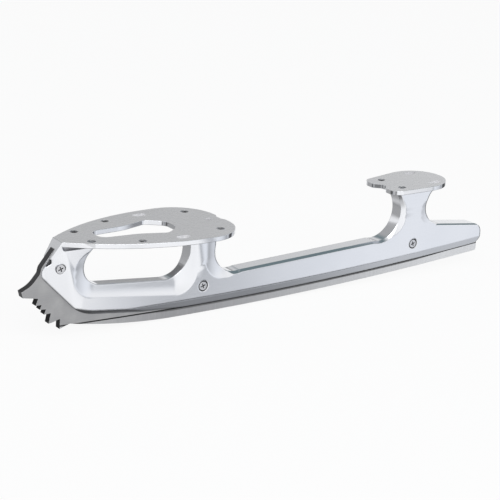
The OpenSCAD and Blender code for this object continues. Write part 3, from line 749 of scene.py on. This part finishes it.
class Sky:
    """Adds nodes to the world and joins them up."""

    def __init__(self, tree):
        self.tree = tree

    def calc(self, operation, *values):
        made = self.tree.nodes.new("ShaderNodeMath")
        made.operation = operation
        for socket, value in zip(made.inputs, values):
            if isinstance(value, (int, float)):
                socket.default_value = value
            else:
                self.tree.links.new(value, socket)
        return made.outputs[0]

    def plus(self, a, b):
        return self.calc("ADD", a, b)

    def minus(self, a, b):
        return self.calc("SUBTRACT", a, b)

    def times(self, a, b):
        return self.calc("MULTIPLY", a, b)

    def dimmed(self, bright, share):
        return self.times(bright, self.minus(1.0, share))

    def ease(self, value, low, high):
        """Goes smoothly from 0 to 1 between two limits."""
        made = self.tree.nodes.new("ShaderNodeMapRange")
        made.interpolation_type = "SMOOTHSTEP"
        made.inputs["From Min"].default_value = low
        made.inputs["From Max"].default_value = high
        self.tree.links.new(value, made.inputs["Value"])
        return made.outputs["Result"]

    def curve(self, value, low, high, stops):
        """Follows straight lines between the stops."""
        made = self.tree.nodes.new("ShaderNodeFloatCurve")
        curve = made.mapping.curves[0]
        for at, level in stops[1:-1]:
            curve.points.new((at - low) / (high - low), level / BRIGHTEST)
        curve.points[0].location = (0, stops[0][1] / BRIGHTEST)
        curve.points[-1].location = (1, stops[-1][1] / BRIGHTEST)
        for point in curve.points:
            point.handle_type = "VECTOR"
        made.mapping.update()
        scaled = self.calc("DIVIDE", self.minus(value, low), high - low)
        self.tree.links.new(scaled, made.inputs["Value"])
        return self.times(made.outputs[0], BRIGHTEST)

    def blend(self, share, first, colour):
        """Goes from a first colour to a plain one."""
        made = self.tree.nodes.new("ShaderNodeMix")
        made.data_type = "RGBA"
        self.tree.links.new(share, made.inputs[0])
        self.tree.links.new(first, made.inputs[6])
        made.inputs[7].default_value = colour
        return made.outputs[2]


def studio_world():
    """A bright tent. Its brightness depends on the direction in which the metal reflects."""
    world = bpy.data.worlds.new("studio_world")
    bpy.context.scene.world = world
    world.use_nodes = True
    tree = world.node_tree
    sky = Sky(tree)
    split = tree.nodes.new("ShaderNodeSeparateXYZ")
    tree.links.new(tree.nodes.new("ShaderNodeTexCoord").outputs["Generated"], split.inputs[0])
    x, y, z = split.outputs
    backwards, rightwards, down = (sky.times(axis, -1.0) for axis in (x, y, z))
    turn = sky.calc("DEGREES", sky.calc("ARCTAN2", y, x))
    right = sky.ease(rightwards, 0.2, 0.5)
    far_right = sky.ease(rightwards, 0.74, 0.79)
    rear = sky.ease(backwards, 0.1, 0.4)

    # The walls count near the horizon, and further up on the right unless it is far behind
    lift = sky.minus(sky.times(far_right, 0.3), sky.times(sky.ease(rightwards, 0.81, 0.84), 0.13))
    lowered = sky.minus(z, sky.times(sky.ease(x, -0.35, -0.1), lift))
    low = sky.times(sky.minus(1.0, sky.ease(lowered, 0.0, 0.25)), sky.ease(z, -0.62, -0.45))
    walls = sky.curve(turn, -180, 180, WALLS)
    patterned = sky.plus(1.0, sky.times(low, sky.minus(walls, 1.0)))
    bright = sky.times(patterned, sky.curve(z, -1, 1, HEIGHTS))

    # Behind and to the right, above the horizon
    behind = sky.times(sky.times(right, rear), sky.ease(z, 0.08, 0.18))
    level = sky.plus(sky.times(sky.ease(backwards, 0.50, 0.72), 0.36), 0.94)
    level = sky.times(sky.curve(z, -1, 1, BEHIND), level)
    bright = sky.plus(bright, sky.times(behind, sky.minus(level, bright)))

    # A darker roof on the right
    roof = sky.times(sky.ease(z, 0.32, 0.46), sky.ease(x, -0.45, -0.2))
    deep = sky.plus(sky.times(far_right, 0.45), 0.55)
    roof = sky.times(sky.times(right, deep), roof)
    bright = sky.dimmed(bright, sky.times(roof, 0.82))

    # Darker ground on the right
    under = sky.times(sky.ease(down, 0.6, 0.75), sky.ease(rightwards, 0.0, 0.2))
    bright = sky.dimmed(bright, sky.times(under, 0.5))

    # A dark band low on the left, behind
    band = sky.minus(sky.ease(z, -0.72, -0.62), sky.ease(z, -0.50, -0.42))
    spread = sky.minus(sky.ease(turn, 105, 122), sky.ease(turn, 138, 148))
    bright = sky.dimmed(bright, sky.times(sky.times(band, spread), 0.92))

    # The walls on the left, behind, are a little cooler
    cool = sky.times(sky.ease(turn, 118.5, 121.5), sky.minus(1.0, sky.ease(z, 0.0, 0.3)))
    grey = tree.nodes.new("ShaderNodeCombineColor")
    for socket, share in zip(grey.inputs, COOL_TINT):
        tinted = sky.plus(1.0, sky.times(cool, share))
        tree.links.new(sky.times(bright, tinted), socket)

    # A dark flag hangs high at the back, and the camera itself sees white
    flag = sky.times(sky.ease(z, 0.40, 0.58), rear)
    shade = sky.blend(flag, grey.outputs[0], FLAG_COLOUR)
    seen = tree.nodes.new("ShaderNodeLightPath").outputs["Is Camera Ray"]
    tree.links.new(sky.blend(seen, shade, WHITE), tree.nodes["Background"].inputs["Color"])


def softbox(name, at, aim, size, power):
    lamp = bpy.data.lights.new(name, "AREA")
    lamp.shape = "RECTANGLE"
    lamp.size, lamp.size_y = size
    lamp.energy = power
    obj = link(bpy.data.objects.new(name, lamp))
    obj.location = at
    obj.rotation_euler = (Vector(aim) - Vector(at)).to_track_quat("-Z", "Y").to_euler()


def studio_camera():
    lens = bpy.data.cameras.new("studio_camera")
    lens.sensor_width = SENSOR_MM
    lens.lens = LENS_MM
    lens.clip_start = 0.01
    camera = link(bpy.data.objects.new("studio_camera", lens))
    back = Vector((
        math.sin(CAMERA_TURN) * math.cos(CAMERA_RISE),
        -math.cos(CAMERA_TURN) * math.cos(CAMERA_RISE),
        math.sin(CAMERA_RISE),
    ))
    level = Vector((math.cos(CAMERA_TURN), math.sin(CAMERA_TURN), 0))
    upright = back.cross(level)
    right = level * math.cos(CAMERA_ROLL) + upright * math.sin(CAMERA_ROLL)
    up = upright * math.cos(CAMERA_ROLL) - level * math.sin(CAMERA_ROLL)
    turn = Matrix((right, up, back)).transposed().to_4x4()
    camera.matrix_world = Matrix.Translation(CAMERA_TARGET + back * CAMERA_DISTANCE) @ turn
    bpy.context.scene.camera = camera


studio_floor()
studio_world()
softbox("key_softbox", at=(0.3, 0.9, 0.9), aim=(0, 0, 0.02), size=(1.2, 0.8), power=6)
studio_camera()
bpy.context.scene.view_settings.view_transform = "Standard"
